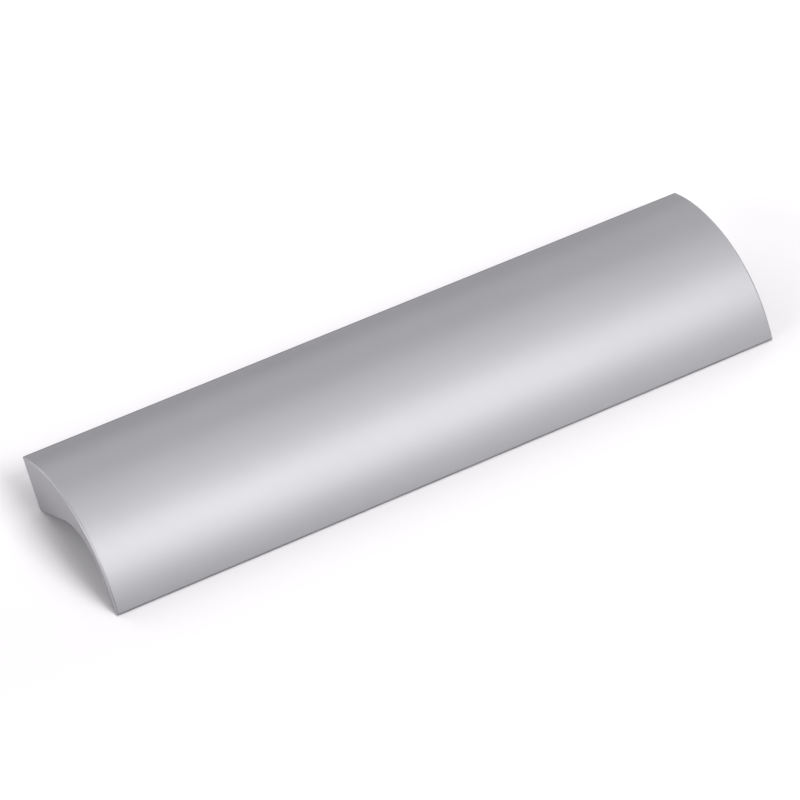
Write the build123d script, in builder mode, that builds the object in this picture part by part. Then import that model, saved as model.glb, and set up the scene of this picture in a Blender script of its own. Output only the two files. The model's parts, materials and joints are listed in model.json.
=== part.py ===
from build123d import *
import os
from math import acos, asin, atan2, cos, degrees, radians, sin, sqrt, tan

# Aluminium profile handle for a drawer or a cabinet door: one length of an extruded section, sawn
# square, with two blind threaded holes in its mounting face for screws from inside the door.
#
# The section is drawn as the handle hangs on a door. Its first axis points out from the door, its
# second axis points up, and its zero is the sharp top corner, where the mounting face meets the front.
# The solid then lies as the loose part does on a table, on its toe and on the edge of its lip:
# X runs along the handle, -Y is the side of the lip, +Z is up, and zero is under the middle of its box.

# Length and screw holes
length = 160.0
screw_centres = 128.0
thread_tap_radius = 1.65
thread_depth = 8.0
hole_height_below_top = 5.8
mouth_chamfer = 0.4
drill_point_angle = 118.0

# Front: one arc from the door to the edge of the lip, and a lip of even thickness behind it
front_radius = 29.4
front_centre_behind_door = 6.9
lip_thickness = 2.0

# End of the lip: its inner side is rounded off towards the edge, where it meets the front
lip_end_angle = 9.2
lip_end_radius = 6.0
lip_edge_radius = 0.3

# Foot: the thick part that bears on the door, and the hollow behind the lip for the fingers
foot_height = 11.7
underside_slope = 8.0
toe_radius = 1.1
finger_radius = 11.4
top_edge_radius = 0.3

# The edges left by the saw are broken all round
end_edge_radius = 0.3


def on_circle(centre, radius, angle):
    """Point on a circle at an angle in degrees."""
    return centre + Vector(cos(radians(angle)), sin(radians(angle))) * radius


def angle_between(first, second, opposite):
    """Angle in degrees between two sides of a triangle, from the side opposite to it."""
    return degrees(acos((first**2 + second**2 - opposite**2) / (2 * first * second)))


# Places in the section, from the sizes above
inner_radius = front_radius - lip_thickness
front_centre = Vector(
    -front_centre_behind_door, -sqrt(front_radius**2 - front_centre_behind_door**2)
)
top_corner = Vector(0, 0)
toe_corner = Vector(0, -foot_height)
slope_direction = Vector(cos(radians(underside_slope)), -sin(radians(underside_slope)))

# The underside of the foot runs on until it meets the circle of the lip's inner face
to_toe = toe_corner - front_centre
along_slope = to_toe.dot(slope_direction)
underside_length = -along_slope + sqrt(along_slope**2 - to_toe.length**2 + inner_radius**2)
hollow_corner = toe_corner + slope_direction * underside_length

# The arc that rounds the lip's end leaves the inner circle smoothly and meets the front at the edge
round_reach = inner_radius + lip_end_radius
round_angle = angle_between(front_radius, round_reach, lip_end_radius) - lip_end_angle
lip_inner_end = on_circle(front_centre, inner_radius, round_angle)
lip_corner = on_circle(front_centre, front_radius, -lip_end_angle)

# Centre of the rounded edge, between that arc and the front
edge_reach = front_radius - lip_edge_radius
edge_turn = angle_between(edge_reach, round_reach, lip_end_radius - lip_edge_radius)
lip_edge_centre = on_circle(front_centre, edge_reach, round_angle - edge_turn)

# Centre of the rounded toe, between the mounting face and the underside
toe_centre = Vector(
    toe_radius,
    -foot_height
    + toe_radius * (1 - sin(radians(underside_slope))) / cos(radians(underside_slope)),
)

# Centre of the rounded top edge, between the mounting face and the front
top_edge_centre = Vector(
    top_edge_radius,
    front_centre.Y
    + sqrt(
        (front_radius - top_edge_radius) ** 2
        - (front_centre_behind_door + top_edge_radius) ** 2
    ),
)

# The loose handle rests on two rounded edges, so the floor is the common tangent of their circles
toe_to_edge = lip_edge_centre - toe_centre
floor_angle = atan2(toe_to_edge.Y, toe_to_edge.X) + asin(
    (toe_radius - lip_edge_radius) / toe_to_edge.length
)
floor_direction = Vector(cos(floor_angle), sin(floor_angle))
floor_normal = Vector(-sin(floor_angle), cos(floor_angle))
floor_height = toe_centre.dot(floor_normal) - toe_radius
front_reach = lip_edge_centre.dot(floor_direction) + lip_edge_radius
back_reach = top_edge_centre.dot(floor_direction) - top_edge_radius
middle_reach = (front_reach + back_reach) / 2


def lying(point):
    """Place of a point of the section in the lying handle."""
    return Vector(
        0,
        middle_reach - point.dot(floor_direction),
        point.dot(floor_normal) - floor_height,
    )


# Directions of the hanging handle, seen on the lying one
out_of_door = lying(Vector(1, 0)) - lying(Vector(0, 0))
section_plane = Plane(origin=lying(top_corner), x_dir=out_of_door, z_dir=(-1, 0, 0))
mounting_plane = Plane(
    origin=lying(Vector(0, -hole_height_below_top)), x_dir=(1, 0, 0), z_dir=-out_of_door
)

# The drill leaves a cone at the bottom of each hole
drill_point_depth = thread_tap_radius / tan(radians(drill_point_angle / 2))

# One screw hole: the broken mouth, the tapped bore and the drill's cone, cut down from its mouth
with BuildPart() as screw_hole:
    with BuildSketch(Plane.XZ):
        with BuildLine():
            Polyline(
                (0, 0),
                (thread_tap_radius + mouth_chamfer, 0),
                (thread_tap_radius, -mouth_chamfer),
                (thread_tap_radius, -thread_depth),
                (0, -thread_depth - drill_point_depth),
                close=True,
            )
        make_face()
    revolve(axis=Axis.Z)

with BuildPart() as handle_profile:
    # The extruded section, with its four rounded corners
    with BuildSketch(section_plane) as section:
        with BuildLine():
            Line(top_corner, toe_corner)
            Line(toe_corner, hollow_corner)
            RadiusArc(hollow_corner, lip_inner_end, inner_radius)
            RadiusArc(lip_inner_end, lip_corner, -lip_end_radius)
            RadiusArc(lip_corner, top_corner, -front_radius)
        make_face()
        for corner, radius in (
            (toe_corner, toe_radius),
            (hollow_corner, finger_radius),
            (lip_corner, lip_edge_radius),
            (top_corner, top_edge_radius),
        ):
            fillet(section.vertices().sort_by_distance(corner)[0], radius)
    extrude(amount=length / 2, both=True)

    # The saw's edges are broken round both ends
    fillet(handle_profile.faces().filter_by(Axis.X).edges(), end_edge_radius)

    # Both screw holes, square to the mounting face
    with Locations(mounting_plane):
        with GridLocations(screw_centres, 0, 2, 1):
            add(screw_hole.part, mode=Mode.SUBTRACT)

handle_profile.part.label = "handle_profile"

os.makedirs("parts", exist_ok=True)
export_step(handle_profile.part, "parts/handle_profile.step")
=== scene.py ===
import json
import logging
import math
from dataclasses import dataclass
from enum import Enum

import bpy
import numpy as np
from mathutils import Matrix, Vector


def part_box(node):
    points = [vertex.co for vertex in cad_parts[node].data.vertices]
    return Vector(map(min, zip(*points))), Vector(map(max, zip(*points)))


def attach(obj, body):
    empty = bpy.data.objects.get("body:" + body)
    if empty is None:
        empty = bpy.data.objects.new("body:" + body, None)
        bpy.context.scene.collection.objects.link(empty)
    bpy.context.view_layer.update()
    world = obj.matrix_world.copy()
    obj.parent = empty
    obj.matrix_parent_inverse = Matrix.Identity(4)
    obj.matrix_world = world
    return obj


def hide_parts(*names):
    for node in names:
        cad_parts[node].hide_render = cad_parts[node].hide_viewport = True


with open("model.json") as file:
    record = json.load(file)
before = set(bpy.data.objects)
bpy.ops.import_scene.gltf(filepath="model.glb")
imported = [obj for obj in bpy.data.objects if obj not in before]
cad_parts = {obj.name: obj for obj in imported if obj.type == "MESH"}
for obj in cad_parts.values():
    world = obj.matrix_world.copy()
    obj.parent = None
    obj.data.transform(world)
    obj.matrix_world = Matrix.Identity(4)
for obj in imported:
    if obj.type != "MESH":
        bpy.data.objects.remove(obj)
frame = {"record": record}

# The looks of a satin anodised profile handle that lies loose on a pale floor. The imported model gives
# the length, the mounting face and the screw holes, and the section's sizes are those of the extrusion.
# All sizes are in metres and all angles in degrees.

MM = 0.001
SAME_POINT = 1e-9
MERGE_DISTANCE = 1e-7
NODE = "handle_profile"
BODY = "root"

log = logging.getLogger("handle")


class Face(Enum):
    """Which way an arc of the section curves, as the sign of its outward normal."""

    CONVEX = 1.0
    CONCAVE = -1.0


class PaintedShadeLine(Enum):
    """How much of the painted shade line along a fine edge lies on an arc, at its start and at its end."""

    NONE = (0.0, 0.0)
    WHOLE = (1.0, 1.0)
    FADING = (1.0, 0.0)
    GROWING = (0.0, 1.0)


def polar(angle: float, radius: float = 1.0) -> np.ndarray:
    """Point of the section plane at an angle in degrees and a distance from zero."""
    turn = math.radians(angle)
    return np.array([math.cos(turn), math.sin(turn)]) * radius


def bearing(vector: np.ndarray) -> float:
    """Angle in degrees of a vector of the section plane."""
    return math.degrees(math.atan2(vector[1], vector[0]))


def angle_between(first: float, second: float, opposite: float) -> float:
    """Angle in degrees between two sides of a triangle, from the side opposite to it."""
    return math.degrees(math.acos((first**2 + second**2 - opposite**2) / (2.0 * first * second)))


def linked(name: str, data: bpy.types.ID) -> bpy.types.Object:
    """Makes an object of a mesh, a light or a camera and links it into the scene.

    Args:
        name: Name of the new object.
        data: What the object holds.

    Returns:
        The new object.
    """
    made = bpy.data.objects.new(name, data)
    bpy.context.scene.collection.objects.link(made)
    return made


def plain_mesh(source: bpy.types.Object) -> bpy.types.Mesh:
    """Evaluates an object with its modifiers into a new plain mesh.

    Args:
        source: The object with its modifiers.

    Returns:
        A new mesh, which needs no modifier.
    """
    bpy.context.view_layer.update()
    graph = bpy.context.evaluated_depsgraph_get()
    return bpy.data.meshes.new_from_object(source.evaluated_get(graph), depsgraph=graph)


@dataclass(frozen=True)
class Arc:
    """One round stretch of the section, from its first angle to its last."""

    centre: np.ndarray
    radius: float
    start: float
    end: float
    steps: int
    face: Face = Face.CONVEX
    # How much of the painted shade line along a fine edge lies on this arc
    line: PaintedShadeLine = PaintedShadeLine.NONE

    def points(self) -> list[tuple[np.ndarray, np.ndarray, float]]:
        """Works out the points of the arc, its first and its last one too.

        Returns:
            Each point with its outward normal and how much of a fine edge's painted shade line lies on it.
        """
        first, last = self.line.value
        found = []
        for step in range(self.steps + 1):
            share = step / self.steps
            outward = polar(self.start + (self.end - self.start) * share)
            fine = first + (last - first) * share
            found.append((self.centre + outward * self.radius, outward * self.face.value, fine))
        return found


@dataclass(frozen=True)
class HandleSection:
    """The extrusion's section, drawn as it hangs: the first axis points out of the door, the second up.

    Zero is the sharp top corner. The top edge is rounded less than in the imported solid, because the
    photograph shows it sharper.
    """

    front_radius: float = 29.4 * MM
    front_centre_behind_door: float = 6.9 * MM
    lip_thickness: float = 2.0 * MM
    lip_end_angle: float = 9.2
    lip_end_radius: float = 6.0 * MM
    lip_edge_radius: float = 0.3 * MM
    foot_height: float = 11.7 * MM
    underside_slope: float = 8.0
    toe_radius: float = 1.1 * MM
    finger_radius: float = 11.4 * MM
    top_edge_radius: float = 0.15 * MM
    # How far the painted shade line along each fine edge runs onto the front
    shade_line_at_lip: float = 0.2 * MM
    shade_line_at_top: float = 0.7 * MM
    hole_height_below_top: float = 5.8 * MM

    def arcs(self) -> list[Arc]:
        """Works out the round stretches, each of which runs smoothly on from the one before.

        Returns:
            The arcs in order, from the toe round the hollow, the lip and the front to the top.
        """
        centre_height = math.sqrt(self.front_radius**2 - self.front_centre_behind_door**2)
        centre = np.array([-self.front_centre_behind_door, -centre_height])
        inner_radius = self.front_radius - self.lip_thickness

        # The toe lies between the mounting face and the sloping underside
        slope = math.radians(self.underside_slope)
        toe_rise = self.toe_radius * (1.0 - math.sin(slope)) / math.cos(slope)
        toe = np.array([self.toe_radius, -self.foot_height + toe_rise])

        # The finger hollow lies between the underside and the lip's inner face
        along = polar(-self.underside_slope)
        down = polar(270.0 - self.underside_slope)
        start = np.array([0.0, -self.foot_height]) + down * self.finger_radius - centre
        gap = start @ start - (inner_radius - self.finger_radius) ** 2
        reach = -(start @ along) + math.sqrt((start @ along) ** 2 - gap)
        finger = start + along * reach
        hollow = centre + finger
        hollow_end = bearing(finger)

        # The lip's end is rounded off on its inner side, out to a fine edge at the front
        lip_end = self.lip_end_radius
        lip_reach = inner_radius + lip_end
        lip_angle = angle_between(self.front_radius, lip_reach, lip_end) - self.lip_end_angle
        lip = centre + polar(lip_angle, lip_reach)
        edge_reach = self.front_radius - self.lip_edge_radius
        edge_angle = lip_angle - angle_between(edge_reach, lip_reach, lip_end - self.lip_edge_radius)
        edge = centre + polar(edge_angle, edge_reach)
        edge_start = bearing(edge - lip) + 360.0

        # The top edge lies between the front and the mounting face
        run = self.front_radius - self.top_edge_radius
        rise = math.sqrt(run**2 - (self.front_centre_behind_door + self.top_edge_radius) ** 2)
        top = np.array([self.top_edge_radius, centre[1] + rise])
        front_end = bearing(top - centre)

        # The painted shade line along each fine edge runs a little way onto the front
        line_end = edge_angle + math.degrees(self.shade_line_at_lip / self.front_radius)
        line_start = front_end - math.degrees(self.shade_line_at_top / self.front_radius)

        front = self.front_radius
        slant = 270.0 - self.underside_slope
        return [
            Arc(toe, self.toe_radius, 180.0, slant, steps=16),
            Arc(hollow, self.finger_radius, slant - 180.0, hollow_end, steps=48, face=Face.CONCAVE),
            Arc(centre, inner_radius, hollow_end, lip_angle, steps=64, face=Face.CONCAVE),
            Arc(lip, lip_end, lip_angle + 180.0, edge_start, steps=16),
            Arc(edge, self.lip_edge_radius, edge_start, edge_angle + 360.0, steps=10, line=PaintedShadeLine.WHOLE),
            Arc(centre, front, edge_angle, line_end, steps=1, line=PaintedShadeLine.FADING),
            Arc(centre, front, line_end, line_start, steps=124),
            Arc(centre, front, line_start, front_end, steps=3, line=PaintedShadeLine.GROWING),
            Arc(top, self.top_edge_radius, front_end, 180.0, steps=8, line=PaintedShadeLine.FADING),
        ]

    def outline(self, name: str) -> bpy.types.Object:
        """Makes the outline as a loop of edges that carries its normals and, along its fine edges, the
        share of the painted shade line.

        Args:
            name: Name of the new object.

        Returns:
            The outline, in the section's own plane.
        """
        places, normals, shade_line_shares = [], [], []
        for arc in self.arcs():
            for place, normal, fine in arc.points():
                if places and np.linalg.norm(places[-1] - place) < SAME_POINT:
                    continue
                places.append(place)
                normals.append(normal)
                shade_line_shares.append(fine)
        count = len(places)
        mesh = bpy.data.meshes.new(name)
        loop = [(i, (i + 1) % count) for i in range(count)]
        mesh.from_pydata([(p[0], p[1], 0.0) for p in places], loop, [])
        outward = mesh.attributes.new("outward", "FLOAT_VECTOR", "POINT")
        outward.data.foreach_set("vector", [v for n in normals for v in (n[0], n[1], 0.0)])
        # Each point's share of the painted shade line along the fine edges
        share = mesh.attributes.new("edge_shade_line", "FLOAT", "POINT")
        share.data.foreach_set("value", shade_line_shares)
        return linked(name, mesh)


@dataclass(frozen=True)
class Seat:
    """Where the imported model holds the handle: its length, its mounting face and its screw holes."""

    length: float
    face_point: Vector
    face_normal: Vector
    hole_centres: float
    tap_radius: float

    @classmethod
    def from_frame(cls) -> "Seat":
        """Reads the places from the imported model's box and mounts.

        Returns:
            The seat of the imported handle.
        """
        low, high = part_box(NODE)
        mounts = {mount["name"]: mount for mount in frame["record"]["mounts"]}
        face = mounts["mounting_face"]
        left, right = mounts["screw_hole_left"], mounts["screw_hole_right"]
        return cls(
            length=high.x - low.x,
            face_point=Vector(face["pos_m"]),
            face_normal=Vector(face["axis"]),
            hole_centres=right["pos_m"][0] - left["pos_m"][0],
            tap_radius=left["dims"]["r_mm"] * MM,
        )

    def placement(self, below_top: float) -> Matrix:
        """Works out how the section's own axes, with its length along the third, lie in the shared frame.

        Args:
            below_top: How far the mounting face's stated point lies below the section's top corner.

        Returns:
            The matrix from the section's axes to the shared frame.
        """
        out = -self.face_normal
        along = Vector((-1.0, 0.0, 0.0))
        up = along.cross(out)
        turn = Matrix((out, up, along)).transposed().to_4x4()
        return Matrix.Translation(self.face_point + up * below_top) @ turn


class NodeSheet:
    """A node tree with short ways to add nodes, join them and do sums."""

    def __init__(self, tree: bpy.types.NodeTree) -> None:
        """Takes the tree that the nodes go into."""
        self.tree = tree

    def add(self, kind: str, settings: dict | None = None, **inputs: object) -> bpy.types.Node:
        """Adds a node.

        Args:
            kind: The node's type name.
            settings: Properties of the node, such as its operation.
            **inputs: Values or sockets for its inputs, by name, with _ for a space.

        Returns:
            The new node.
        """
        node = self.tree.nodes.new(kind)
        for key, value in (settings or {}).items():
            setattr(node, key, value)
        for key, value in inputs.items():
            self.feed(node.inputs[key.replace("_", " ")], value)
        return node

    def feed(self, socket: bpy.types.NodeSocket, value: object) -> None:
        """Joins another node's socket to this one, or sets its value.

        Args:
            socket: The input that takes the value.
            value: A plain value, or another node's output.
        """
        if isinstance(value, bpy.types.NodeSocket):
            self.tree.links.new(value, socket)
        else:
            socket.default_value = value

    def result(self, kind: str, settings: dict, values: tuple) -> bpy.types.NodeSocket:
        """Adds a node and feeds its inputs in their own order.

        Args:
            kind: The node's type name.
            settings: Properties of the node, such as its operation.
            values: Values or sockets for its inputs.

        Returns:
            The node's first output.
        """
        node = self.add(kind, settings)
        for socket, value in zip(node.inputs, values):
            self.feed(socket, value)
        return node.outputs[0]

    def calc(self, operation: str, *values: object) -> bpy.types.NodeSocket:
        """Adds a Math node and returns its result."""
        return self.result("ShaderNodeMath", {"operation": operation}, values)

    def vector(self, operation: str, *values: object) -> bpy.types.NodeSocket:
        """Adds a Vector Math node and returns its vector."""
        return self.result("ShaderNodeVectorMath", {"operation": operation}, values)

    def scaled(self, vector: object, factor: object) -> bpy.types.NodeSocket:
        """Adds a Vector Math node that scales a vector, and returns its vector."""
        settings = {"operation": "SCALE"}
        return self.add("ShaderNodeVectorMath", settings, Vector=vector, Scale=factor).outputs[0]

    def spread(self, mask: object, middle: float, amount: float) -> bpy.types.NodeSocket:
        """Turns a mask from 0 to 1 into values that lie evenly round a middle one."""
        return self.calc("MULTIPLY_ADD", mask, amount, middle - amount / 2.0)


class GeometryTree(NodeSheet):
    """A Geometry Nodes tree with named inputs, which is run once and leaves a plain mesh."""

    def __init__(self, name: str, sockets: dict[str, str]) -> None:
        """Makes the tree.

        Args:
            name: Name of the tree.
            sockets: Socket type of each named input, apart from the geometry.
        """
        super().__init__(bpy.data.node_groups.new(name, "GeometryNodeTree"))
        interface = self.tree.interface
        interface.new_socket("Geometry", in_out="INPUT", socket_type="NodeSocketGeometry")
        for socket, kind in sockets.items():
            interface.new_socket(socket, in_out="INPUT", socket_type=kind)
        interface.new_socket("Geometry", in_out="OUTPUT", socket_type="NodeSocketGeometry")
        self.given = self.tree.nodes.new("NodeGroupInput").outputs
        self.end = self.tree.nodes.new("NodeGroupOutput").inputs[0]

    def attribute(self, name: str, kind: str = "FLOAT") -> bpy.types.NodeSocket:
        """Reads a named attribute of the geometry that the tree works on."""
        node = self.add("GeometryNodeInputNamedAttribute", {"data_type": kind}, Name=name)
        return node.outputs["Attribute"]

    def sample(self, geometry: object, value: object, index: object, kind: str) -> bpy.types.NodeSocket:
        """Reads a field at one point of another geometry.

        Args:
            geometry: The geometry that is read.
            value: The field to read there.
            index: Number of the point.
            kind: The field's data type.

        Returns:
            The field's value at that point.
        """
        node = self.add(
            "GeometryNodeSampleIndex", {"data_type": kind}, Geometry=geometry, Value=value, Index=index
        )
        return node.outputs[0]

    def marked(self, geometry: object, name: str, value: object) -> bpy.types.NodeSocket:
        """Stores a number on each point.

        Args:
            geometry: The geometry that takes the number.
            name: Name of the attribute.
            value: The number, or a field of numbers.

        Returns:
            The geometry with the attribute.
        """
        settings = {"data_type": "FLOAT", "domain": "POINT"}
        node = self.add(
            "GeometryNodeStoreNamedAttribute", settings, Geometry=geometry, Name=name, Value=value
        )
        return node.outputs[0]

    def choose(self, test: object, ordinary: object, special: object) -> bpy.types.NodeSocket:
        """Number that is the special one where the test holds, and else the ordinary one."""
        return self.result("GeometryNodeSwitch", {"input_type": "FLOAT"}, (test, ordinary, special))

    def run(self, source: bpy.types.Object, values: dict[str, object]) -> bpy.types.Mesh:
        """Runs the tree on an object and returns the result as a plain mesh.

        Args:
            source: The object that gives the geometry.
            values: Value of each named input.

        Returns:
            A new mesh without modifiers or instances.
        """
        modifier = source.modifiers.new(self.tree.name, "NODES")
        modifier.node_group = self.tree
        for item in self.tree.interface.items_tree:
            if item.in_out == "INPUT" and item.name in values:
                modifier[item.identifier] = values[item.name]
        mesh = plain_mesh(source)
        source.modifiers.remove(modifier)
        return mesh


@dataclass
class ExtrudedBar:
    """The bar: the section along its length, with both sawn ends' edges broken.

    A face is part of a sawn end where the cosine between its normal and the length, whichever way it
    points, is over end_face_cosine.
    """

    section: HandleSection
    length: float
    end_edge_radius: float = 0.3 * MM
    end_edge_steps: int = 6
    end_face_cosine: float = 0.999

    def make_tree(self) -> GeometryTree:
        """Makes the tree that lays rings of the outline along the length and closes both ends.

        Returns:
            The tree, which takes the outline as its geometry.
        """
        tree = GeometryTree(
            "extruded_bar",
            {
                "Length": "NodeSocketFloat",
                "Edge Radius": "NodeSocketFloat",
                "Edge Steps": "NodeSocketInt",
                "Side Finish": "NodeSocketMaterial",
                "End Finish": "NodeSocketMaterial",
            },
        )
        add, calc = tree.add, tree.calc
        half = calc("MULTIPLY", tree.given["Length"], 0.5)
        join = add("GeometryNodeJoinGeometry")
        for part in (self.sides(tree, half), *self.ends(tree, half)):
            tree.feed(join.inputs[0], part)
        merged = add("GeometryNodeMergeByDistance", Geometry=join.outputs[0], Distance=MERGE_DISTANCE)
        smooth = add("GeometryNodeSetShadeSmooth", Geometry=merged.outputs[0]).outputs[0]
        whole = add("GeometryNodeRealizeInstances", Geometry=smooth).outputs[0]
        dressed = add("GeometryNodeSetMaterial", Geometry=whole, Material=tree.given["Side Finish"])

        # Faces square to the length are the sawn ends
        normal = add("ShaderNodeSeparateXYZ", Vector=add("GeometryNodeInputNormal").outputs[0])
        square = calc("GREATER_THAN", calc("ABSOLUTE", normal.outputs["Z"]), self.end_face_cosine)
        ended = add(
            "GeometryNodeSetMaterial",
            Geometry=dressed.outputs[0],
            Selection=square,
            Material=tree.given["End Finish"],
        )
        tree.feed(tree.end, ended.outputs[0])
        return tree

    def sides(self, tree: GeometryTree, half: bpy.types.NodeSocket) -> bpy.types.NodeSocket:
        """Adds the nodes for the extruded faces, with the quarter turn of the broken edge at each end.

        Args:
            tree: The tree that the nodes go into.
            half: Half of the bar's length.

        Returns:
            The extruded faces, which carry how far each point belongs to a broken edge, and how much of a
            fine edge's painted shade line lies on it.
        """
        add, calc, given = tree.add, tree.calc, tree.given
        outline, radius, steps = given["Geometry"], given["Edge Radius"], given["Edge Steps"]
        size = add("GeometryNodeAttributeDomainSize", {"component": "MESH"}, Geometry=outline)
        count = size.outputs["Point Count"]
        rings = calc("MULTIPLY", calc("ADD", steps, 1), 2)

        # A grid with a row for each ring, and a column for each point of the outline and the first again
        grid = add("GeometryNodeMeshGrid", Vertices_X=calc("ADD", count, 1), Vertices_Y=rings)
        index = add("GeometryNodeInputIndex").outputs[0]
        column = calc("FLOORED_MODULO", calc("FLOOR", calc("DIVIDE", index, rings)), count)
        row = calc("FLOORED_MODULO", index, rings)
        position = add("GeometryNodeInputPosition").outputs[0]
        place = tree.sample(outline, position, column, "FLOAT_VECTOR")
        outward = tree.sample(outline, tree.attribute("outward", "FLOAT_VECTOR"), column, "FLOAT_VECTOR")
        fine = tree.sample(outline, tree.attribute("edge_shade_line"), column, "FLOAT")

        # Rows counted from the nearer end go through the quarter turn
        last = calc("SUBTRACT", rings, 1)
        from_end = calc("MINIMUM", row, calc("SUBTRACT", last, row))
        turn = calc("MULTIPLY", calc("DIVIDE", from_end, steps), math.pi / 2)
        inset = calc("MULTIPLY", radius, calc("SUBTRACT", 1.0, calc("SINE", turn)))
        back = calc("MULTIPLY", radius, calc("SUBTRACT", 1.0, calc("COSINE", turn)))
        side = calc("SIGN", calc("SUBTRACT", row, calc("DIVIDE", last, 2.0)))
        height = calc("MULTIPLY", side, calc("SUBTRACT", half, back))
        shift = tree.scaled(outward, calc("MULTIPLY", inset, -1.0))
        lift = add("ShaderNodeCombineXYZ", Z=height).outputs[0]
        moved = tree.vector("ADD", tree.vector("ADD", place, shift), lift)
        sides = add("GeometryNodeSetPosition", Geometry=grid.outputs["Mesh"], Position=moved)
        marked = tree.marked(sides.outputs[0], "edge_break", calc("COSINE", turn))
        # The share of the painted shade line along the fine edges
        return tree.marked(marked, "edge_shade_line", fine)

    def ends(self, tree: GeometryTree, half: bpy.types.NodeSocket) -> list[bpy.types.NodeSocket]:
        """Adds the nodes for the flat of each sawn end, inside its broken edge.

        Args:
            tree: The tree that the nodes go into.
            half: Half of the bar's length.

        Returns:
            Both flats, with their faces outward.
        """
        add, given = tree.add, tree.given
        outward = tree.attribute("outward", "FLOAT_VECTOR")
        inward = tree.scaled(outward, tree.calc("MULTIPLY", given["Edge Radius"], -1.0))
        drawn = add("GeometryNodeSetPosition", Geometry=given["Geometry"], Offset=inward)
        curve = add("GeometryNodeMeshToCurve", Mesh=drawn.outputs[0]).outputs[0]
        flat = add("GeometryNodeFillCurve", {"mode": "NGONS"}, Curve=curve).outputs[0]
        up = add("ShaderNodeCombineXYZ", Z=half).outputs[0]
        down = tree.scaled(up, -1.0)
        upper = add("GeometryNodeTransform", Geometry=flat, Translation=up).outputs[0]
        lower = add("GeometryNodeTransform", Geometry=flat, Translation=down).outputs[0]
        return [upper, add("GeometryNodeFlipFaces", Mesh=lower).outputs[0]]

    def build(self, side_finish: bpy.types.Material, end_finish: bpy.types.Material) -> bpy.types.Mesh:
        """Builds the bar.

        Args:
            side_finish: Material of the extruded faces.
            end_finish: Material of the sawn ends.

        Returns:
            The bar's mesh in the section's own axes, with its length along the third.
        """
        outline = self.section.outline("section_outline")
        values = {
            "Length": self.length,
            "Edge Radius": self.end_edge_radius,
            "Edge Steps": self.end_edge_steps,
            "Side Finish": side_finish,
            "End Finish": end_finish,
        }
        mesh = self.make_tree().run(outline, values)
        bpy.data.objects.remove(outline)
        return mesh


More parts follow.
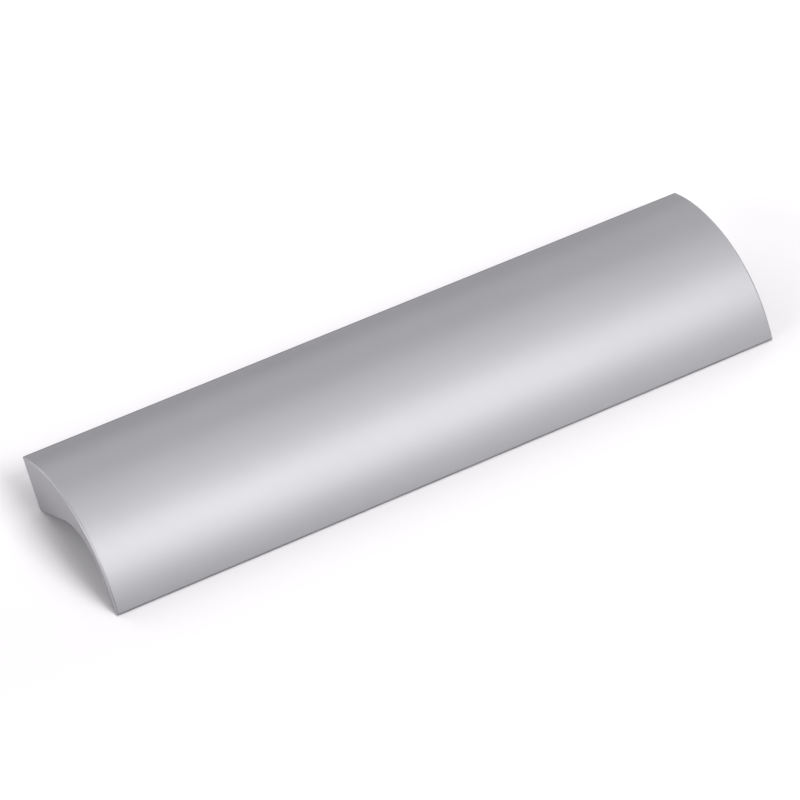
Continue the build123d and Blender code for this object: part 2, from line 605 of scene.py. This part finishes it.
@dataclass
class TappedHoles:
    """The blind screw holes, as the form that the drill, the tap and the mouth's chamfer leave empty.

    The thread's flank runs from flank_start to flank_end, as shares of the way down the bore from the
    middle of a crest to the middle of the next groove.
    """

    centres: float
    below_top: float
    tap_radius: float
    pitch: float = 0.7 * MM
    thread_height: float = 0.36 * MM
    flank_start: float = 0.22
    flank_end: float = 0.88
    depth: float = 8.0 * MM
    mouth_chamfer: float = 0.4 * MM
    drill_point_angle: float = 118.0
    turns_of_runout: float = 2.0
    segments: int = 48
    rows: int = 140
    rows_outside: int = 2

    def make_tree(self) -> GeometryTree:
        """Makes the tree that rolls up one threaded form and sets it at each hole.

        Returns:
            The tree, which needs no geometry.
        """
        tree = GeometryTree(
            "tapped_holes",
            {
                "Centres": "NodeSocketFloat",
                "Below Top": "NodeSocketFloat",
                "Tap Radius": "NodeSocketFloat",
                "Pitch": "NodeSocketFloat",
                "Thread Height": "NodeSocketFloat",
                "Flank Start": "NodeSocketFloat",
                "Flank End": "NodeSocketFloat",
                "Depth": "NodeSocketFloat",
                "Mouth Chamfer": "NodeSocketFloat",
                "Point Depth": "NodeSocketFloat",
                "Runout": "NodeSocketFloat",
                "Segments": "NodeSocketInt",
                "Rows": "NodeSocketInt",
                "Bore Finish": "NodeSocketMaterial",
            },
        )
        add, calc, given = tree.add, tree.calc, tree.given
        form = self.form(tree)

        # One form at each of the two holes
        drop = calc("MULTIPLY", given["Below Top"], -1.0)
        low = calc("MULTIPLY", given["Centres"], -0.5)
        first = add("ShaderNodeCombineXYZ", Y=drop, Z=low).outputs[0]
        stride = add("ShaderNodeCombineXYZ", Z=given["Centres"]).outputs[0]
        line = add("GeometryNodeMeshLine", Count=2, Start_Location=first, Offset=stride).outputs[0]
        placed = add("GeometryNodeInstanceOnPoints", Points=line, Instance=form).outputs[0]
        smooth = add("GeometryNodeSetShadeSmooth", Geometry=placed).outputs[0]
        whole = add("GeometryNodeRealizeInstances", Geometry=smooth).outputs[0]
        dressed = add("GeometryNodeSetMaterial", Geometry=whole, Material=given["Bore Finish"])
        tree.feed(tree.end, dressed.outputs[0])
        return tree

    def form(self, tree: GeometryTree) -> bpy.types.NodeSocket:
        """Adds the nodes that roll a grid up into one threaded form, with its mouth at zero.

        Args:
            tree: The tree that the nodes go into.

        Returns:
            The closed form, which runs inwards along the first axis.
        """
        add, calc, given = tree.add, tree.calc, tree.given
        depth, chamfer = given["Depth"], given["Mouth Chamfer"]
        segments, rows = given["Segments"], given["Rows"]

        # Columns go round the hole, and rows go down it, with more at both ends that close the form
        all_rows = calc("ADD", rows, self.rows_outside + 1)
        columns = calc("ADD", segments, 1)
        grid = add("GeometryNodeMeshGrid", Vertices_X=columns, Vertices_Y=all_rows)
        index = add("GeometryNodeInputIndex").outputs[0]
        column = calc("FLOORED_MODULO", calc("FLOOR", calc("DIVIDE", index, all_rows)), segments)
        row = calc("FLOORED_MODULO", index, all_rows)
        turn = calc("DIVIDE", column, segments)
        step = calc("DIVIDE", calc("SUBTRACT", row, self.rows_outside), calc("SUBTRACT", rows, 1.0))
        down = calc("MULTIPLY", depth, step)

        # The mouth's chamfer widens the threaded wall
        threaded = calc("ADD", given["Tap Radius"], self.groove(tree, turn, down))
        mouth = calc("SUBTRACT", calc("ADD", given["Tap Radius"], chamfer), down)
        wall = calc("MAXIMUM", threaded, mouth)

        # The first rows lie outside the mouth, and the last is the drill's point
        is_outside = calc("LESS_THAN", row, self.rows_outside - 0.5)
        is_point = calc("GREATER_THAN", row, calc("SUBTRACT", all_rows, 1.5))
        is_closed = calc("MAXIMUM", calc("LESS_THAN", row, 0.5), is_point)
        radius = tree.choose(is_closed, wall, 0.0)
        outside = calc("MULTIPLY", chamfer, -1.0)
        bottom = calc("ADD", depth, given["Point Depth"])
        inwards = tree.choose(is_point, tree.choose(is_outside, down, outside), bottom)
        angle = calc("MULTIPLY", turn, 2.0 * math.pi)
        place = add(
            "ShaderNodeCombineXYZ",
            X=inwards,
            Y=calc("MULTIPLY", radius, calc("COSINE", angle)),
            Z=calc("MULTIPLY", radius, calc("SINE", angle)),
        ).outputs[0]
        rolled = add("GeometryNodeSetPosition", Geometry=grid.outputs["Mesh"], Position=place)
        merged = add("GeometryNodeMergeByDistance", Geometry=rolled.outputs[0], Distance=MERGE_DISTANCE)
        return merged.outputs[0]

    def groove(
        self, tree: GeometryTree, turn: bpy.types.NodeSocket, down: bpy.types.NodeSocket
    ) -> bpy.types.NodeSocket:
        """Adds the nodes for the depth of the thread's groove, which follows the turn round the hole.

        Args:
            tree: The tree that the nodes go into.
            turn: Share of a whole turn round the hole.
            down: Distance from the mouth.

        Returns:
            Depth of the groove, which fades out towards the bottom of the hole.
        """
        add, calc, given = tree.add, tree.calc, tree.given
        phase = calc("FRACT", calc("SUBTRACT", calc("DIVIDE", down, given["Pitch"]), turn))
        swing = calc("SUBTRACT", calc("MULTIPLY", phase, 2.0), 1.0)
        wave = calc("SUBTRACT", 1.0, calc("ABSOLUTE", swing))
        start, end = given["Flank Start"], given["Flank End"]
        flank = add("ShaderNodeMapRange", Value=wave, From_Min=start, From_Max=end).outputs[0]
        left = calc("DIVIDE", calc("SUBTRACT", given["Depth"], down), given["Runout"])
        fade = add("ShaderNodeClamp", Value=left).outputs[0]
        return calc("MULTIPLY", calc("MULTIPLY", flank, fade), given["Thread Height"])

    def build(self, bore_finish: bpy.types.Material) -> bpy.types.Object:
        """Builds both forms as one object that the bar is cut with.

        Args:
            bore_finish: Material that the cut walls take.

        Returns:
            The cutting object, in the section's own axes.
        """
        point = self.tap_radius / math.tan(math.radians(self.drill_point_angle / 2.0))
        values = {
            "Centres": self.centres,
            "Below Top": self.below_top,
            "Tap Radius": self.tap_radius,
            "Pitch": self.pitch,
            "Thread Height": self.thread_height,
            "Flank Start": self.flank_start,
            "Flank End": self.flank_end,
            "Depth": self.depth,
            "Mouth Chamfer": self.mouth_chamfer,
            "Point Depth": point,
            "Runout": self.turns_of_runout * self.pitch,
            "Segments": self.segments,
            "Rows": self.rows,
            "Bore Finish": bore_finish,
        }
        seed = linked("hole_seed", bpy.data.meshes.new("hole_seed"))
        mesh = self.make_tree().run(seed, values)
        bpy.data.objects.remove(seed)
        return linked("hole_forms", mesh)


class EffectGroup(NodeSheet):
    """A shader node group for an effect that several finishes share."""

    def __init__(self, name: str, inputs: dict[str, float], outputs: tuple[str, ...]) -> None:
        """Makes the group with its vector input.

        Args:
            name: Name of the group.
            inputs: Named number inputs with their first values.
            outputs: Named number outputs.
        """
        super().__init__(bpy.data.node_groups.new(name, "ShaderNodeTree"))
        interface = self.tree.interface
        interface.new_socket("Vector", in_out="INPUT", socket_type="NodeSocketVector")
        for key, value in inputs.items():
            socket = interface.new_socket(key, in_out="INPUT", socket_type="NodeSocketFloat")
            socket.default_value = value
        for key in outputs:
            interface.new_socket(key, in_out="OUTPUT", socket_type="NodeSocketFloat")
        self.given = self.tree.nodes.new("NodeGroupInput").outputs
        self.end = self.tree.nodes.new("NodeGroupOutput").inputs


def matte_grain() -> bpy.types.NodeTree:
    """Makes the fine even grain that etching leaves under the anodic layer, with a wider cloud in it.

    Returns:
        The group, whose Mask is about 0.5 on the whole.
    """
    inputs = {"Grain Size": 0.16 * MM, "Cloud Share": 0.25, "Cloud Scale": 0.11}
    group = EffectGroup("matte_grain", inputs, ("Mask",))
    place = group.given["Vector"]
    scale = group.calc("DIVIDE", 1.0, group.given["Grain Size"])
    wide = group.calc("MULTIPLY", scale, group.given["Cloud Scale"])
    fine = group.add("ShaderNodeTexNoise", Vector=place, Scale=scale, Detail=2.0, Roughness=0.6)
    cloud = group.add("ShaderNodeTexNoise", Vector=place, Scale=wide, Detail=1.0)
    both = group.add("ShaderNodeMix", {"data_type": "FLOAT"}, Factor=group.given["Cloud Share"])
    group.feed(both.inputs["A"], fine.outputs[0])
    group.feed(both.inputs["B"], cloud.outputs[0])
    group.feed(group.end["Mask"], both.outputs["Result"])
    return group.tree


def draw_lines() -> bpy.types.NodeTree:
    """Makes the faint lines that the extrusion die leaves along the bar.

    Returns:
        The group, whose Mask is about 0.5 on the whole.
    """
    inputs = {"Line Width": 0.5 * MM, "Line Length": 60.0 * MM}
    group = EffectGroup("draw_lines", inputs, ("Mask",))
    across = group.calc("DIVIDE", 1.0, group.given["Line Width"])
    along = group.calc("DIVIDE", 1.0, group.given["Line Length"])
    scale = group.add("ShaderNodeCombineXYZ", X=along, Y=across, Z=across).outputs[0]
    stretched = group.vector("MULTIPLY", group.given["Vector"], scale)
    streaks = group.add("ShaderNodeTexNoise", Vector=stretched, Scale=1.0, Detail=3.0, Roughness=0.55)
    group.feed(group.end["Mask"], streaks.outputs[0])
    return group.tree


def soft_variation() -> bpy.types.NodeTree:
    """Makes the slow drift of tone over a few centimetres that an anodised face has.

    Returns:
        The group, whose Mask is about 0.5 on the whole.
    """
    group = EffectGroup("soft_variation", {"Patch Size": 22.0 * MM}, ("Mask",))
    scale = group.calc("DIVIDE", 1.0, group.given["Patch Size"])
    drift = group.add("ShaderNodeTexNoise", Vector=group.given["Vector"], Scale=scale, Detail=2.0)
    group.feed(group.end["Mask"], drift.outputs[0])
    return group.tree


@dataclass(frozen=True)
class SatinAnodised:
    """Silver satin anodised aluminium, for the extruded faces and, with other values, for the rest."""

    name: str = "satin_anodised"
    tone: tuple[float, float, float] = (0.373, 0.368, 0.387)
    roughness: float = 0.48
    grain_size: float = 0.16 * MM
    grain_depth: float = 0.004 * MM
    grain_tone: float = 0.05
    grain_roughness: float = 0.08
    line_width: float = 0.5 * MM
    line_length: float = 60.0 * MM
    line_depth: float = 0.0006 * MM
    line_tone: float = 0.03
    line_roughness: float = 0.04
    patch_size: float = 22.0 * MM
    patch_tone: float = 0.05
    edge_wear_and_highlight: float = 0.08
    edge_polish: float = 0.06
    painted_edge_shade: float = 0.30

    def build(self, effects: dict[str, bpy.types.NodeTree]) -> bpy.types.Material:
        """Makes the material.

        Args:
            effects: The shared node groups by name.

        Returns:
            The new material.
        """
        material = bpy.data.materials.new(self.name)
        material.use_nodes = True
        material.node_tree.nodes.clear()
        sheet = NodeSheet(material.node_tree)
        calc, spread = sheet.calc, sheet.spread
        place = sheet.add("ShaderNodeTexCoord").outputs["Object"]
        grain = self.mask(sheet, effects["matte_grain"], place, Grain_Size=self.grain_size)
        lines = self.mask(
            sheet, effects["draw_lines"], place, Line_Width=self.line_width, Line_Length=self.line_length
        )
        drift = self.mask(sheet, effects["soft_variation"], place, Patch_Size=self.patch_size)
        edge = sheet.add("ShaderNodeAttribute", {"attribute_name": "edge_break"}).outputs["Fac"]
        thin = sheet.add("ShaderNodeAttribute", {"attribute_name": "edge_shade_line"}).outputs["Fac"]

        # Tone: a slow drift, the fine grain and faint die lines, lighter on the saw's broken edges (partly
        # worn metal, partly a painted highlight), and a painted shade line along the extrusion's own fine
        # edges
        slow = spread(drift, 1.0, self.patch_tone)
        fine = spread(grain, 1.0, self.grain_tone)
        streak = spread(lines, 1.0, self.line_tone)
        # Painted shade: a darker line along the fine edges, where the edge turns towards shade
        edge_light_and_shade = calc("MULTIPLY_ADD", thin, -self.painted_edge_shade, 1.0)
        # Lighter on the broken edges: partly worn bare metal, partly a painted highlight
        edge_light_and_shade = calc("MULTIPLY_ADD", edge, self.edge_wear_and_highlight, edge_light_and_shade)
        share = calc("MULTIPLY", calc("MULTIPLY", slow, fine), calc("MULTIPLY", streak, edge_light_and_shade))
        tone = sheet.scaled(self.tone, share)

        # Roughness: it varies a little with the grain and the die lines, and is less on the broken edges
        rough = spread(grain, self.roughness, self.grain_roughness)
        rough = calc("ADD", rough, spread(lines, 0.0, self.line_roughness))
        rough = calc("SUBTRACT", rough, calc("MULTIPLY", edge, self.edge_polish))

        # Relief, in metres
        relief = calc("MULTIPLY", grain, self.grain_depth)
        relief = calc("MULTIPLY_ADD", lines, self.line_depth, relief)
        bump = sheet.add("ShaderNodeBump", Height=relief, Distance=1.0, Strength=1.0)
        shader = sheet.add(
            "ShaderNodeBsdfPrincipled",
            Metallic=1.0,
            Base_Color=tone,
            Roughness=rough,
            Normal=bump.outputs[0],
        )
        sheet.add("ShaderNodeOutputMaterial", Surface=shader.outputs[0])
        return material

    @staticmethod
    def mask(
        sheet: NodeSheet, tree: bpy.types.NodeTree, place: bpy.types.NodeSocket, **values: float
    ) -> bpy.types.NodeSocket:
        """Places a shared effect in a material with this finish's own values, and returns its mask."""
        return sheet.add("ShaderNodeGroup", {"node_tree": tree}, Vector=place, **values).outputs["Mask"]


@dataclass
class Handle:
    """The whole handle: the bar with its holes cut, dressed and set in the shared frame."""

    seat: Seat
    section: HandleSection
    sharp_angle: float = 32.0

    def build(self, finishes: dict[str, bpy.types.Material]) -> bpy.types.Object:
        """Builds the handle.

        Args:
            finishes: The materials by the name of what they cover.

        Returns:
            The finished piece.
        """
        extrusion = ExtrudedBar(self.section, self.seat.length)
        bar = linked("bar", extrusion.build(finishes["side"], finishes["end"]))
        holes = TappedHoles(
            centres=self.seat.hole_centres,
            below_top=self.section.hole_height_below_top,
            tap_radius=self.seat.tap_radius,
        ).build(finishes["bore"])
        cut = bar.modifiers.new("screw_holes", "BOOLEAN")
        cut.operation = "DIFFERENCE"
        cut.solver = "EXACT"
        cut.material_mode = "TRANSFER"
        cut.object = holes
        mesh = plain_mesh(bar)
        bpy.data.objects.remove(bar)
        bpy.data.objects.remove(holes)
        self.clear_marks(mesh, finishes["bore"])

        mesh.transform(self.seat.placement(self.section.hole_height_below_top))
        mesh.shade_smooth()
        mesh.set_sharp_from_angle(angle=math.radians(self.sharp_angle))
        piece = linked("handle_body", mesh)
        piece.modifiers.new("even_normals", "WEIGHTED_NORMAL").keep_sharp = True
        finished = plain_mesh(piece)
        piece.modifiers.clear()
        piece.data = finished
        finished.name = "handle_body"
        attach(piece, BODY)
        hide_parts(NODE)
        return piece

    @staticmethod
    def clear_marks(mesh: bpy.types.Mesh, finish: bpy.types.Material) -> None:
        """Sets the edge marks to zero round the holes, where the cut leaves them at chance values.

        Args:
            mesh: The bar with its holes cut.
            finish: The finish that covers the walls of the holes.
        """
        slot = list(mesh.materials).index(finish)
        walls = {point for face in mesh.polygons if face.material_index == slot for point in face.vertices}
        for mark in ("edge_break", "edge_shade_line"):
            values = mesh.attributes[mark].data
            for point in walls:
                values[point].value = 0.0


@dataclass(frozen=True)
class SoftBox:
    """One rectangular soft light, which faces the handle and has its width along the handle."""

    name: str
    towards: tuple[float, float, float]
    width: float
    height: float
    power: float
    distance: float = 1.5

    def build(self) -> None:
        """Makes the light and sets it in its place."""
        data = bpy.data.lights.new(self.name, "AREA")
        data.shape = "RECTANGLE"
        data.size = self.width
        data.size_y = self.height
        data.energy = self.power
        away = Vector(self.towards).normalized()
        across = (Vector((1.0, 0.0, 0.0)) - away * away.x).normalized()
        turn = Matrix((across, away.cross(across), away)).transposed().to_4x4()
        linked(self.name, data).matrix_world = Matrix.Translation(away * self.distance) @ turn


@dataclass
class Studio:
    """The pale floor, the soft lights and the camera."""

    floor_size: float = 2.4
    floor_tone: tuple[float, float, float] = (0.905, 0.888, 0.910)
    floor_roughness: float = 0.9
    floor_specular: float = 0.1
    surroundings: float = 0.02
    soft_boxes: tuple[SoftBox, ...] = (
        SoftBox("key_light", (0.32, -0.43, 0.84), 0.80, 0.85, 10.6),
        SoftBox("key_skirt", (0.25, -0.75, 0.60), 0.80, 0.45, 2.1),
        SoftBox("overhead", (0.30, 0.20, 0.93), 1.40, 1.20, 8.9),
        SoftBox("back_high", (0.00, 0.66, 0.75), 0.80, 0.50, 1.3),
        SoftBox("back_right", (0.20, 0.86, 0.47), 1.00, 0.50, 2.6),
        SoftBox("back_left", (-0.45, 0.77, 0.45), 1.00, 0.50, 6.5),
        SoftBox("right_low", (0.79, 0.58, 0.19), 0.60, 0.50, 5.3),
        SoftBox("front_low", (0.55, -0.78, 0.24), 1.30, 0.50, 3.4),
        SoftBox("left_low", (-0.95, 0.05, 0.25), 0.80, 0.80, 13.1),
    )
    target: tuple[float, float, float] = (0.616 * MM, 2.618 * MM, 0.0)
    azimuth: float = 39.696
    elevation: float = 49.020
    roll: float = 9.613
    distance: float = 1.141244
    lens: float = 249.140
    sensor_width: float = 36.0
    clip_start: float = 0.05

    def build_floor(self) -> None:
        """Makes the plain floor that the handle lies on."""
        half = self.floor_size / 2.0
        mesh = bpy.data.meshes.new("floor")
        corners = [(-half, -half, 0.0), (half, -half, 0.0), (half, half, 0.0), (-half, half, 0.0)]
        mesh.from_pydata(corners, [], [(0, 1, 2, 3)])
        floor = linked("floor", mesh)
        material = bpy.data.materials.new("pale_floor")
        material.use_nodes = True
        shader = material.node_tree.nodes["Principled BSDF"]
        shader.inputs["Base Color"].default_value = (*self.floor_tone, 1.0)
        shader.inputs["Roughness"].default_value = self.floor_roughness
        shader.inputs["Specular IOR Level"].default_value = self.floor_specular
        mesh.materials.append(material)

    def build_camera(self) -> None:
        """Makes the camera, which looks at the target from the photograph's side, turned by its roll."""
        azimuth, elevation = math.radians(self.azimuth), math.radians(self.elevation)
        forward = Vector(
            (
                math.sin(azimuth) * math.cos(elevation),
                math.cos(azimuth) * math.cos(elevation),
                -math.sin(elevation),
            )
        )
        data = bpy.data.cameras.new("camera")
        data.lens = self.lens
        data.sensor_width = self.sensor_width
        data.clip_start = self.clip_start
        camera = linked("camera", data)
        turn = forward.to_track_quat("-Z", "Y").to_matrix().to_4x4()
        roll = Matrix.Rotation(math.radians(self.roll), 4, "Z")
        place = Matrix.Translation(Vector(self.target) - forward * self.distance)
        camera.matrix_world = place @ turn @ roll
        bpy.context.scene.camera = camera

    def build_lights(self) -> None:
        """Makes the soft lights and the even surroundings."""
        world = bpy.data.worlds.new("studio")
        world.use_nodes = True
        background = world.node_tree.nodes["Background"]
        background.inputs["Color"].default_value = (1.0, 1.0, 1.0, 1.0)
        bpy.context.scene.world = world

        # Past the floor's far edge the background shows white, though it sheds little light
        sheet = NodeSheet(world.node_tree)
        shown = sheet.add("ShaderNodeLightPath").outputs["Is Camera Ray"]
        share = sheet.calc("MULTIPLY_ADD", shown, 1.0 - self.surroundings, self.surroundings)
        sheet.feed(background.inputs["Strength"], share)
        for box in self.soft_boxes:
            box.build()


def main() -> None:
    """Builds the handle, its finishes and the studio, in order, and reports the finished piece."""
    logging.basicConfig(level=logging.INFO, format="%(name)s: %(message)s")
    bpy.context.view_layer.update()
    studio = Studio()
    studio.build_camera()
    effects = {"matte_grain": matte_grain(), "draw_lines": draw_lines(), "soft_variation": soft_variation()}
    finishes = {
        "side": SatinAnodised().build(effects),
        "end": SatinAnodised(name="sawn_end", roughness=0.5).build(effects),
        "bore": SatinAnodised(name="tapped_bore", roughness=0.38, tone=(0.42, 0.42, 0.43)).build(effects),
    }
    piece = Handle(Seat.from_frame(), HandleSection()).build(finishes)
    log.info("%s: %d faces", piece.name, len(piece.data.polygons))
    studio.build_floor()
    studio.build_lights()
    bpy.context.scene.view_settings.view_transform = "Standard"


if __name__ == "__main__":
    main()
